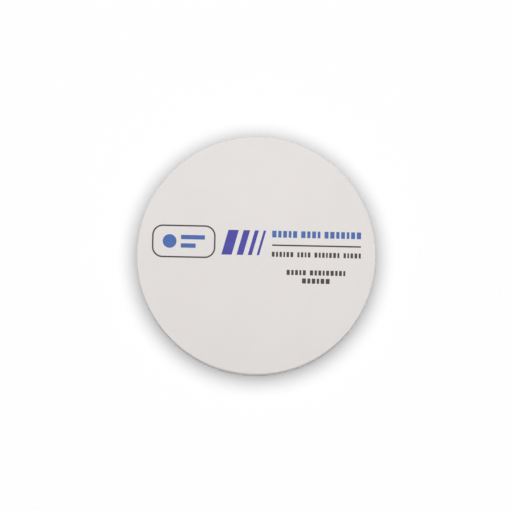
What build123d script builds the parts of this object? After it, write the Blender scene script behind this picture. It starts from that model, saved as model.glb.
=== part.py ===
from build123d import *
from math import radians, tan
import os

# Milling disc: a round blank of pre-sintered zirconia that a dental mill clamps by its rim
# Millimetres, origin at the middle of the underside, +Z along the axis, print reads along +X

# Blank: the form without a collar, whose whole rim is the clamping band
disc_diameter = 98.5
disc_thickness = 10.0
edge_chamfer = 0.3

# Print: one film for each ink, in three columns across the upper face
ink_thickness = 0.02
side_margin = 5.9
column_gap = 2.5
print_rise = 5.1
column_shares = (10, 7, 14)

# Left column: a frame round a dot and two lines
line_width = 0.62
frame_height = 13.6
frame_corner = 4.4
field_inset = 4.4
dot_diameter = 5.7
dot_gap = 1.8
field_line_height = 1.8
field_line_gap = 1.7
short_line_share = 0.62

# Middle column: slanted bars, each narrower than the one before
bar_height = 10.3
bar_slant = 15.0
bar_count = 4
bar_gap = 2.0
bar_taper = 0.62

# Right column: rows of small blocks over and under a rule
rule_drop = 0.85
title_height = 2.8
title_gap = 0.7
title_clearance = 2.9
caption_height = 2.1
caption_clearance = 2.4
note_height = 2.1
note_clearance = 5.3
row_clearance = 1.3
small_gap = 0.6
group_gap = 1.7
note_share = 0.66
last_note_share = 0.31

# Blocks in each group of a row, and the widths that they run through in turn
title_groups = (5, 4, 7)
caption_groups = (6, 4, 7, 5)
note_groups = (5, 9)
last_note_groups = (6,)
block_rhythm = (1.25, 0.95, 1.1, 0.8, 1.15)

# Columns, from what the side margins and the gaps leave of the face
disc_radius = disc_diameter / 2
print_width = 2 * (disc_radius - edge_chamfer - side_margin)
share = (print_width - 2 * column_gap) / sum(column_shares)
frame_width, bars_width, text_width = (share * part for part in column_shares)
frame_x = (frame_width - print_width) / 2
bars_left = frame_width + column_gap - print_width / 2
text_x = (print_width - text_width) / 2
print_face = Plane.XY.offset(disc_thickness)

# Rows of the right column, from the rule up and down
rule_y = print_rise - rule_drop
title_y = rule_y + (line_width + title_height) / 2 + title_clearance
caption_y = rule_y - (line_width + caption_height) / 2 - caption_clearance
note_y = caption_y - (caption_height + note_height) / 2 - note_clearance
last_note_y = note_y - note_height - row_clearance


def row_of_blocks(y, width, height, groups, gap):
    """Upright blocks in groups, centred on the right column, in the open sketch."""
    count = sum(groups)
    parts = [block_rhythm[n % len(block_rhythm)] for n in range(count)]
    gaps = gap * (count - len(groups)) + group_gap * (len(groups) - 1)
    widths = [part * (width - gaps) / sum(parts) for part in parts]
    group_ends = [sum(groups[:n]) for n in range(1, len(groups))]
    left = text_x - width / 2
    for n, block_width in enumerate(widths):
        if n > 0:
            left += group_gap if n in group_ends else gap
        with Locations((left + block_width / 2, y)):
            Rectangle(block_width, height)
        left += block_width


# Blank, flat on both faces, with the edge of each broken
with BuildPart() as blank:
    with BuildSketch():
        Circle(disc_radius)
    extrude(amount=disc_thickness)
    chamfer(blank.edges().filter_by(GeomType.CIRCLE), edge_chamfer)

# Grey ink: the frame, the rule and the rows below it
with BuildPart() as grey_print:
    with BuildSketch(print_face):
        with Locations((frame_x, print_rise)):
            RectangleRounded(frame_width, frame_height, frame_corner)
            offset(amount=-line_width, mode=Mode.SUBTRACT)
        with Locations((text_x, rule_y)):
            Rectangle(text_width, line_width)
        row_of_blocks(caption_y, text_width, caption_height, caption_groups, small_gap)
        row_of_blocks(note_y, text_width * note_share, note_height, note_groups, small_gap)
        row_of_blocks(
            last_note_y, text_width * last_note_share, note_height, last_note_groups, small_gap
        )
    extrude(amount=ink_thickness)

# Blue ink: the dot and lines in the frame, and the row above the rule
dot_left = frame_x - frame_width / 2 + field_inset
lines_left = dot_left + dot_diameter + dot_gap
long_line = frame_x + frame_width / 2 - field_inset - lines_left
line_step = (field_line_height + field_line_gap) / 2
with BuildPart() as blue_print:
    with BuildSketch(print_face):
        with Locations((dot_left + dot_diameter / 2, print_rise)):
            Circle(dot_diameter / 2)
        for length, y in (
            (long_line, print_rise + line_step),
            (long_line * short_line_share, print_rise - line_step),
        ):
            with Locations((lines_left, y)):
                Rectangle(length, field_line_height, align=(Align.MIN, Align.CENTER))
        row_of_blocks(title_y, text_width, title_height, title_groups, title_gap)
    extrude(amount=ink_thickness)

# Indigo ink: the slanted bars
lean = bar_height * tan(radians(bar_slant))
tapers = [bar_taper**n for n in range(bar_count)]
first_bar = (bars_width - lean - bar_gap * (bar_count - 1)) / sum(tapers)
with BuildPart() as indigo_print:
    with BuildSketch(print_face):
        left = bars_left
        for taper in tapers:
            bar_width = first_bar * taper
            with Locations((left, print_rise - bar_height / 2)):
                Polygon((0, 0), (bar_width, 0), (bar_width + lean, bar_height), (lean, bar_height))
            left += bar_width + bar_gap
    extrude(amount=ink_thickness)

os.makedirs("parts", exist_ok=True)
blank.part.label = "blank"
export_step(blank.part, "parts/blank.step")
grey_print.part.label = "grey_print"
export_step(grey_print.part, "parts/grey_print.step")
blue_print.part.label = "blue_print"
export_step(blue_print.part, "parts/blue_print.step")
indigo_print.part.label = "indigo_print"
export_step(indigo_print.part, "parts/indigo_print.step")
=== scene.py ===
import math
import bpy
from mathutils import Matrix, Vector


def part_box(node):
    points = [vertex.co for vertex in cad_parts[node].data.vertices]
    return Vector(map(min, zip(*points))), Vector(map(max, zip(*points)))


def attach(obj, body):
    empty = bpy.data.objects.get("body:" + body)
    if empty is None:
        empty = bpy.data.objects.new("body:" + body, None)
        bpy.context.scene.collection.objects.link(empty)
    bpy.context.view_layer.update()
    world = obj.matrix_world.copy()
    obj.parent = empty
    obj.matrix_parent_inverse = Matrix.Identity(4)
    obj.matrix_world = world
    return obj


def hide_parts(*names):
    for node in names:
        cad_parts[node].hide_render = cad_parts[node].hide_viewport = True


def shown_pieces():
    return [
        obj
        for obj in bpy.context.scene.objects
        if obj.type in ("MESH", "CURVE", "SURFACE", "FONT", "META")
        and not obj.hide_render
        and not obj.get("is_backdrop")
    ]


bl_info = {
    "name": "Milling Disc Looks",
    "version": (1, 0, 0),
    "blender": (4, 5, 0),
    "location": "3D View > Sidebar > Milling Disc",
    "description": "Dresses a dental milling disc and sets its floor, light and camera",
    "category": "Object",
}

import bmesh
import bpy
from bpy.props import FloatProperty, FloatVectorProperty, IntProperty, PointerProperty
from bpy.types import Operator, Panel, PropertyGroup
from mathutils import Matrix, Vector

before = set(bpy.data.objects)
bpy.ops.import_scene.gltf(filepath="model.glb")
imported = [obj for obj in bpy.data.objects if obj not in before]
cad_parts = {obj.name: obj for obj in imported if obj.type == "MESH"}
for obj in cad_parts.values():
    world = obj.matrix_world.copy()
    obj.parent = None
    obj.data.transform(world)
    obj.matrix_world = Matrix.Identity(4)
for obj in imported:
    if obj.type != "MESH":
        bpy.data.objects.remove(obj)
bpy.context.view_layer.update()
blank_low, blank_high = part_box("blank")

MM = 0.001

# The photograph's side, and the disc in it, in pixels from its top left corner
PHOTO_SIDE = 512
PHOTO_CENTRE = (256.2, 255.05)
PHOTO_DIAMETER = 239.2

# Granules are about 0.06 mm and are drawn coarser, so that they show at all
GRAIN_SIZE = 0.22 * MM

# How far the rise of a face's normal may be from straight up or from level
NORMAL_SLACK = 0.001


def linear(colour):
    """Linear RGBA of an sRGB hex colour."""
    parts = [int(colour[place:place + 2], 16) / 255 for place in (1, 3, 5)]
    return [
        part / 12.92 if part <= 0.04045 else ((part + 0.055) / 1.055) ** 2.4 for part in parts
    ] + [1.0]


class BlankLook(PropertyGroup):
    """Edges and colour of the blank."""

    edge_chamfer: FloatProperty(
        name="Edge chamfer",
        description="Width of the broken edge of each face, measured along the face",
        default=0.3 * MM,
        unit="LENGTH",
    )
    arris: FloatProperty(
        name="Arris",
        description="Rounding that handling leaves on the two edges of each chamfer",
        default=0.06 * MM,
        unit="LENGTH",
    )
    facets: IntProperty(
        name="Facets",
        description="Flats that the round wall is made of",
        default=288,
        min=32,
    )
    colour: FloatVectorProperty(
        name="Zirconia",
        description="Chalk white of the pre-sintered powder",
        default=linear("#DEDAD8"),
        size=4,
        min=0.0,
        max=1.0,
        subtype="COLOR",
    )


class PrintLook(PropertyGroup):
    """Corners and inks of the print."""

    corner: FloatProperty(
        name="Corner",
        description="Radius that a soft printing pad leaves on each corner",
        default=0.14 * MM,
        unit="LENGTH",
    )
    grey_ink: FloatVectorProperty(
        name="Grey ink",
        description="Warm dark grey of the frame, the rule and the small rows",
        default=linear("#453E3B"),
        size=4,
        min=0.0,
        max=1.0,
        subtype="COLOR",
    )
    blue_ink: FloatVectorProperty(
        name="Blue ink",
        description="Mid blue of the dot, its lines and the top row",
        default=linear("#4766A6"),
        size=4,
        min=0.0,
        max=1.0,
        subtype="COLOR",
    )
    indigo_ink: FloatVectorProperty(
        name="Indigo ink",
        description="Indigo of the slanted bars",
        default=linear("#47459A"),
        size=4,
        min=0.0,
        max=1.0,
        subtype="COLOR",
    )


class StageLook(PropertyGroup):
    """Floor, light and camera."""

    floor_side: FloatProperty(
        name="Floor side", description="Side of the square floor", default=8.0, unit="LENGTH"
    )
    paper: FloatVectorProperty(
        name="Paper",
        description="Grey of the floor's paper before its light burns it out",
        default=linear("#666666"),
        size=4,
        min=0.0,
        max=1.0,
        subtype="COLOR",
    )
    reach: FloatProperty(
        name="Reach",
        description="Angle from the middle of each round light to its edge, seen from the disc",
        default=math.radians(42.0),
        subtype="ANGLE",
    )
    floor_light: FloatProperty(
        name="Floor light",
        description="Brightness of the light that burns the floor out to white",
        default=16.3,
    )
    floor_light_height: FloatProperty(
        name="Floor light height",
        description="Height of the floor's light",
        default=3.0,
        unit="LENGTH",
    )
    floor_light_lean: FloatProperty(
        name="Floor light lean",
        description="Angle by which it stands away from the camera's side",
        default=math.radians(1.5),
        subtype="ANGLE",
    )
    disc_light: FloatProperty(
        name="Disc light",
        description="Brightness of the light that only the disc takes",
        default=2.22,
    )
    disc_light_height: FloatProperty(
        name="Disc light height",
        description="Height of the disc's light",
        default=0.35,
        unit="LENGTH",
    )
    disc_light_lean: FloatProperty(
        name="Disc light lean",
        description="Angle by which it stands away from the camera's side",
        default=math.radians(10.0),
        subtype="ANGLE",
    )
    sky: FloatProperty(
        name="Sky", description="Strength of the even light from all round", default=0.05
    )
    camera_elevation: FloatProperty(
        name="Camera elevation",
        description="Angle of the camera above the floor",
        default=math.radians(83.5),
        subtype="ANGLE",
    )
    camera_distance: FloatProperty(
        name="Camera distance",
        description="From the lens to the printed face",
        default=1.2,
        unit="LENGTH",
    )
    camera_roll: FloatProperty(
        name="Camera roll",
        description="Turn of the camera that makes the print run slightly downhill",
        default=math.radians(1.2),
        subtype="ANGLE",
    )


def add_node(tree, kind, inputs=None, **settings):
    """A shader node with its settings, its inputs set to values or linked to other nodes."""
    node = tree.nodes.new(kind)
    for name, value in settings.items():
        setattr(node, name, value)
    for name, value in (inputs or {}).items():
        if isinstance(value, bpy.types.NodeSocket):
            tree.links.new(value, node.inputs[name])
        else:
            node.inputs[name].default_value = value
    return node


def new_material(name):
    """A node material with nothing in it yet, and its tree."""
    material = bpy.data.materials.new(name)
    material.use_nodes = True
    tree = material.node_tree
    tree.nodes.clear()
    return material, tree


def pressed_zirconia(colour):
    """Pre-sintered zirconia, pressed and turned: chalk matt, with a little light inside."""
    # To the eye it is an even, dry, faintly warm white that only its rim breaks with fine lines,
    # their grooves darkened by painted shade
    material, tree = new_material("pressed_zirconia")
    place = add_node(tree, "ShaderNodeTexCoord").outputs["Object"]

    # Pressing packs the powder a little denser in wide soft patches
    cloud_size = 24 * MM
    cloud = add_node(
        tree, "ShaderNodeTexNoise",
        {"Vector": place, "Scale": 1 / cloud_size, "Detail": 3.0, "Roughness": 0.6},
    )
    shade = add_node(
        tree, "ShaderNodeMapRange",
        {"Value": cloud.outputs["Fac"], "From Min": 0.3, "From Max": 0.7,
         "To Min": 0.985, "To Max": 1.01},
    )

    # Lines of the turning tool round the rim, 0.2 mm apart and drawn four times as wide: real
    # relief in the bump, and painted shade of their grooves in the colour
    line_width = 0.8 * MM
    line_length = 60 * MM
    # How far the painted shade of the grooves darkens the colour
    groove_shade_paint = 0.2
    noise_middle = 0.5
    along = line_width / line_length
    stretched = add_node(
        tree, "ShaderNodeMapping", {"Vector": place, "Scale": (along, along, 1.0)}
    )
    lines = add_node(
        tree, "ShaderNodeTexNoise",
        {"Vector": stretched.outputs["Vector"], "Scale": 1 / line_width, "Detail": 2.0,
         "Roughness": 0.6},
    )
    depth = add_node(
        tree, "ShaderNodeMath", {0: lines.outputs["Fac"], 1: noise_middle}, operation="SUBTRACT"
    )

    # The rim is what faces sideways rather than up or down
    rim_limit = 0.5
    facing = add_node(tree, "ShaderNodeNewGeometry")
    rise = add_node(tree, "ShaderNodeSeparateXYZ", {"Vector": facing.outputs["Normal"]})
    flatness = add_node(tree, "ShaderNodeMath", {0: rise.outputs["Z"]}, operation="ABSOLUTE")
    on_rim = add_node(
        tree, "ShaderNodeMath", {0: flatness.outputs[0], 1: rim_limit}, operation="LESS_THAN"
    )
    rim_lines = add_node(
        tree, "ShaderNodeMath", {0: depth.outputs[0], 1: on_rim.outputs[0]}, operation="MULTIPLY"
    )
    # Painted shade: the grooves of the rim's lines darken the colour, on top of the patchy tone
    # of the pressing
    patchy_tone_and_groove_shade = add_node(
        tree, "ShaderNodeMath",
        {0: rim_lines.outputs[0], 1: groove_shade_paint, 2: shade.outputs["Result"]},
        operation="MULTIPLY_ADD",
    )
    body_colour = add_node(
        tree, "ShaderNodeHueSaturation", {"Value": patchy_tone_and_groove_shade.outputs[0], "Color": colour}
    )

    grain = add_node(
        tree, "ShaderNodeTexNoise",
        {"Vector": place, "Scale": 1 / GRAIN_SIZE, "Detail": 2.0, "Roughness": 0.7},
    )
    grain_relief = add_node(
        tree, "ShaderNodeBump",
        {"Height": grain.outputs["Fac"], "Strength": 0.35, "Distance": 0.02 * MM},
    )
    relief = add_node(
        tree, "ShaderNodeBump",
        {"Height": rim_lines.outputs[0], "Strength": 0.6, "Distance": 0.06 * MM,
         "Normal": grain_relief.outputs["Normal"]},
    )
    surface = add_node(
        tree, "ShaderNodeBsdfPrincipled",
        {"Base Color": body_colour.outputs["Color"], "Roughness": 0.88, "IOR": 1.6,
         "Specular IOR Level": 0.35, "Subsurface Weight": 0.2,
         "Subsurface Radius": (1.0, 0.8, 0.65), "Subsurface Scale": 0.6 * MM,
         "Normal": relief.outputs["Normal"]},
    )
    add_node(tree, "ShaderNodeOutputMaterial", {"Surface": surface.outputs["BSDF"]})
    return material


def pad_print_ink(name, colour):
    """Pad-printed ink: a thin matt coat that follows the dry surface under it."""
    # To the eye it is flat and dark, a little thinner in places where the pores drank it
    material, tree = new_material(name)
    place = add_node(tree, "ShaderNodeTexCoord").outputs["Object"]
    cloud_size = 2.5 * MM
    cloud = add_node(
        tree, "ShaderNodeTexNoise",
        {"Vector": place, "Scale": 1 / cloud_size, "Detail": 4.0, "Roughness": 0.65},
    )
    shade = add_node(
        tree, "ShaderNodeMapRange",
        {"Value": cloud.outputs["Fac"], "From Min": 0.3, "From Max": 0.7,
         "To Min": 0.92, "To Max": 1.1},
    )
    body_colour = add_node(
        tree, "ShaderNodeHueSaturation", {"Value": shade.outputs["Result"], "Color": colour}
    )
    grain = add_node(
        tree, "ShaderNodeTexNoise",
        {"Vector": place, "Scale": 1 / GRAIN_SIZE, "Detail": 2.0, "Roughness": 0.7},
    )
    relief = add_node(
        tree, "ShaderNodeBump",
        {"Height": grain.outputs["Fac"], "Strength": 0.3, "Distance": 0.015 * MM},
    )
    surface = add_node(
        tree, "ShaderNodeBsdfPrincipled",
        {"Base Color": body_colour.outputs["Color"], "Roughness": 0.62, "IOR": 1.5,
         "Specular IOR Level": 0.3, "Normal": relief.outputs["Normal"]},
    )
    add_node(tree, "ShaderNodeOutputMaterial", {"Surface": surface.outputs["BSDF"]})
    return material


def studio_paper(colour):
    """Seamless studio paper: plain matt grey that its own light burns out to white."""
    # Grey throws less light back under the disc, which keeps the soft shadow round it deep
    material, tree = new_material("studio_paper")
    surface = add_node(
        tree, "ShaderNodeBsdfPrincipled",
        {"Base Color": colour, "Roughness": 0.95, "Specular IOR Level": 0.1},
    )
    add_node(tree, "ShaderNodeOutputMaterial", {"Surface": surface.outputs["BSDF"]})
    return material


def start_editing(piece):
    """Edit mode on this piece alone, with nothing of it selected."""
    bpy.ops.object.select_all(action="DESELECT")
    piece.select_set(True)
    bpy.context.view_layer.objects.active = piece
    bpy.ops.object.mode_set(mode="EDIT")
    bpy.ops.mesh.select_all(action="DESELECT")


def select(kind, wanted):
    """Selects the faces or edges of the piece being edited that pass a test."""
    mode = {"faces": "FACE", "edges": "EDGE"}[kind]
    bpy.ops.mesh.select_mode(type=mode)
    bpy.ops.mesh.select_all(action="DESELECT")
    mesh = bmesh.from_edit_mesh(bpy.context.edit_object.data)
    chosen = [item for item in getattr(mesh, kind) if wanted(item)]
    if not chosen:
        raise RuntimeError(f"no {kind} to select on {bpy.context.edit_object.name}")
    for item in chosen:
        item.select_set(True)
    mesh.select_flush_mode()
    bmesh.update_edit_mesh(bpy.context.edit_object.data)


def finish_piece(piece, material, node):
    """Shading, material, slot and body of a piece that stands for a CAD node."""
    smooth_up_to = math.radians(30)
    bpy.ops.object.mode_set(mode="OBJECT")
    bpy.ops.object.transform_apply(location=True, rotation=True, scale=True)
    bpy.ops.object.shade_smooth_by_angle(angle=smooth_up_to)
    piece.data.materials.clear()
    piece.data.materials.append(material)
    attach(piece, "root")
    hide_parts(node)


def is_flat(face):
    """A face that looks straight up or down."""
    return abs(face.normal.z) > 1 - NORMAL_SLACK


def is_upright(face):
    """A face that looks sideways."""
    return abs(face.normal.z) < NORMAL_SLACK


class MILLINGDISC_OT_blank(Operator):
    """Turn the blank with its broken edges"""

    bl_idname = "object.milling_disc_blank"
    bl_label = "Blank"

    def execute(self, context):
        look = context.scene.milling_disc_blank
        middle = (blank_low + blank_high) / 2
        size = blank_high - blank_low
        bpy.ops.object.select_all(action="DESELECT")
        bpy.ops.mesh.primitive_cylinder_add(
            vertices=look.facets, radius=size.x / 2, depth=size.z, location=middle
        )
        piece = context.active_object
        piece.name = "pressed_blank"
        start_editing(piece)

        # The broken edge of each face, then the soft arrises on both sides of it
        select("edges", lambda edge: any(map(is_flat, edge.link_faces)))
        bpy.ops.mesh.bevel(offset=look.edge_chamfer, segments=1, affect="EDGES")
        chamfer_turn, turn_slack = math.radians(45), math.radians(5)
        select(
            "edges", lambda edge: abs(edge.calc_face_angle() - chamfer_turn) < turn_slack
        )
        bpy.ops.mesh.bevel(offset=look.arris, segments=3, affect="EDGES")

        # A narrow band beside each arris keeps the wall and the faces flat in the light,
        # and a ring half-way to the middle keeps the triangles of the faces short
        band = 2 * look.arris
        select("faces", is_upright)
        bpy.ops.mesh.inset(thickness=band, depth=0)
        for side in (1, -1):
            select("faces", lambda face: is_flat(face) and face.normal.z * side > 0)
            bpy.ops.mesh.inset(thickness=band, depth=0)
            bpy.ops.mesh.inset(thickness=size.x / 4, depth=0)
        finish_piece(piece, pressed_zirconia(look.colour), "blank")
        return {"FINISHED"}


class MILLINGDISC_OT_print(Operator):
    """Lay the ink films on the printed face"""

    bl_idname = "object.milling_disc_print"
    bl_label = "Print"

    def execute(self, context):
        look = context.scene.milling_disc_print
        for ink in ("grey", "blue", "indigo"):
            self.lay_film(context, ink, look.corner, getattr(look, f"{ink}_ink"))
        return {"FINISHED"}

    def lay_film(self, context, ink, corner, colour):
        """One ink's film, its corners rounded as a soft pad leaves them."""
        node = f"{ink}_print"
        piece = bpy.data.objects.new(f"{ink}_ink_film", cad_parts[node].data.copy())
        context.scene.collection.objects.link(piece)

        # The CAD node's loose triangles become whole faces again
        weld_distance, level_turn = 0.001 * MM, math.radians(0.5)
        start_editing(piece)
        bpy.ops.mesh.select_all(action="SELECT")
        bpy.ops.mesh.remove_doubles(threshold=weld_distance)
        bpy.ops.mesh.dissolve_limited(angle_limit=level_turn)

        sharp_turn = math.radians(60)

        def is_corner(edge):
            return all(map(is_upright, edge.link_faces)) and edge.calc_face_angle() > sharp_turn

        # A film without an upright corner has nothing to round
        if any(map(is_corner, bmesh.from_edit_mesh(piece.data).edges)):
            select("edges", is_corner)
            bpy.ops.mesh.bevel(offset=corner, segments=3, affect="EDGES")
        finish_piece(piece, pad_print_ink(f"{ink}_pad_ink", colour), node)


class MILLINGDISC_OT_stage(Operator):
    """Set the floor, the light and the camera"""

    bl_idname = "object.milling_disc_stage"
    bl_label = "Floor, light and camera"

    def execute(self, context):
        look = context.scene.milling_disc_stage
        floor = self.lay_floor(look)
        self.hang_light(context, look, "floor_light", [floor])
        self.hang_light(context, look, "disc_light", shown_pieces())
        self.light_sky(context, look)
        self.set_camera(context, look)
        context.scene.view_settings.view_transform = "Standard"
        return {"FINISHED"}

    def lay_floor(self, look):
        """Plain studio paper under the disc."""
        bpy.ops.object.select_all(action="DESELECT")
        bpy.ops.mesh.primitive_plane_add(size=look.floor_side, location=(0, 0, blank_low.z))
        floor = bpy.context.active_object
        floor.name = "studio_floor"
        floor.data.materials.append(studio_paper(look.paper))
        floor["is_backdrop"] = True
        return floor

    def hang_light(self, context, look, name, takers):
        """A round soft light overhead, leaning away from the camera, for its takers alone."""
        height = getattr(look, f"{name}_height")
        lean = getattr(look, f"{name}_lean")
        radius = height * math.tan(look.reach)
        lamp = bpy.data.lights.new(name, "AREA")
        lamp.shape = "DISK"
        lamp.size = 2 * radius
        # An evenly glowing disc gives off pi times its brightness from each square metre
        lamp.energy = getattr(look, name) * math.pi * (math.pi * radius**2)
        light = bpy.data.objects.new(name, lamp)
        context.scene.collection.objects.link(light)
        light.matrix_world = Matrix.Rotation(-lean, 4, "X") @ Matrix.Translation((0, 0, height))
        light.visible_camera = False
        lit = bpy.data.collections.new(f"{name}_takers")
        for taker in takers:
            lit.objects.link(taker)
        light.light_linking.receiver_collection = lit

    def light_sky(self, context, look):
        """Even light from all round, in front of a white surround."""
        world = bpy.data.worlds.new("studio")
        context.scene.world = world
        world.use_nodes = True
        tree = world.node_tree
        tree.nodes.clear()
        seen = add_node(tree, "ShaderNodeLightPath").outputs["Is Camera Ray"]
        strength = add_node(
            tree, "ShaderNodeMapRange", {"Value": seen, "To Min": look.sky, "To Max": 1.0}
        )
        sky = add_node(
            tree, "ShaderNodeBackground",
            {"Color": linear("#FFFFFF"), "Strength": strength.outputs["Result"]},
        )
        add_node(tree, "ShaderNodeOutputWorld", {"Surface": sky.outputs["Background"]})

    def set_camera(self, context, look):
        """The photograph's view: nearly straight down, a little from the print's lower side."""
        per_pixel = (blank_high.x - blank_low.x) / PHOTO_DIAMETER
        lens = bpy.data.cameras.new("photo_camera")
        lens.lens = lens.sensor_width * look.camera_distance / (per_pixel * PHOTO_SIDE)
        lens.clip_start = 10 * MM
        camera = bpy.data.objects.new("photo_camera", lens)
        context.scene.collection.objects.link(camera)
        face_middle = Vector((0, 0, blank_high.z))
        off_centre = Vector(
            (PHOTO_SIDE / 2 - PHOTO_CENTRE[0], PHOTO_CENTRE[1] - PHOTO_SIDE / 2, 0)
        )
        camera.matrix_world = (
            Matrix.Translation(face_middle + off_centre * per_pixel)
            @ Matrix.Rotation(math.pi / 2 - look.camera_elevation, 4, "X")
            @ Matrix.Rotation(look.camera_roll, 4, "Z")
            @ Matrix.Translation((0, 0, look.camera_distance))
        )
        context.scene.camera = camera


class VIEW3D_PT_milling_disc(Panel):
    """Sizes, colours and steps of the milling disc"""

    bl_idname = "VIEW3D_PT_milling_disc"
    bl_label = "Milling disc"
    bl_space_type = "VIEW_3D"
    bl_region_type = "UI"
    bl_category = "Milling Disc"

    def draw(self, context):
        for name, (look, operator) in STEPS.items():
            box = self.layout.box()
            for setting in look.__annotations__:
                box.prop(getattr(context.scene, name), setting)
            box.operator(operator.bl_idname)


# Each step's settings on the scene and its operator, in the order in which they are run
STEPS = {
    "milling_disc_blank": (BlankLook, MILLINGDISC_OT_blank),
    "milling_disc_print": (PrintLook, MILLINGDISC_OT_print),
    "milling_disc_stage": (StageLook, MILLINGDISC_OT_stage),
}
CLASSES = (*(cls for step in STEPS.values() for cls in step), VIEW3D_PT_milling_disc)


def register():
    for cls in CLASSES:
        bpy.utils.register_class(cls)
    for name, (look, operator) in STEPS.items():
        setattr(bpy.types.Scene, name, PointerProperty(type=look))


def unregister():
    for name in STEPS:
        delattr(bpy.types.Scene, name)
    for cls in reversed(CLASSES):
        bpy.utils.unregister_class(cls)


def main():
    """Makes the pieces and the stage."""
    register()
    bpy.ops.object.milling_disc_blank()
    bpy.ops.object.milling_disc_print()
    bpy.ops.object.milling_disc_stage()


if __name__ == "__main__":
    main()
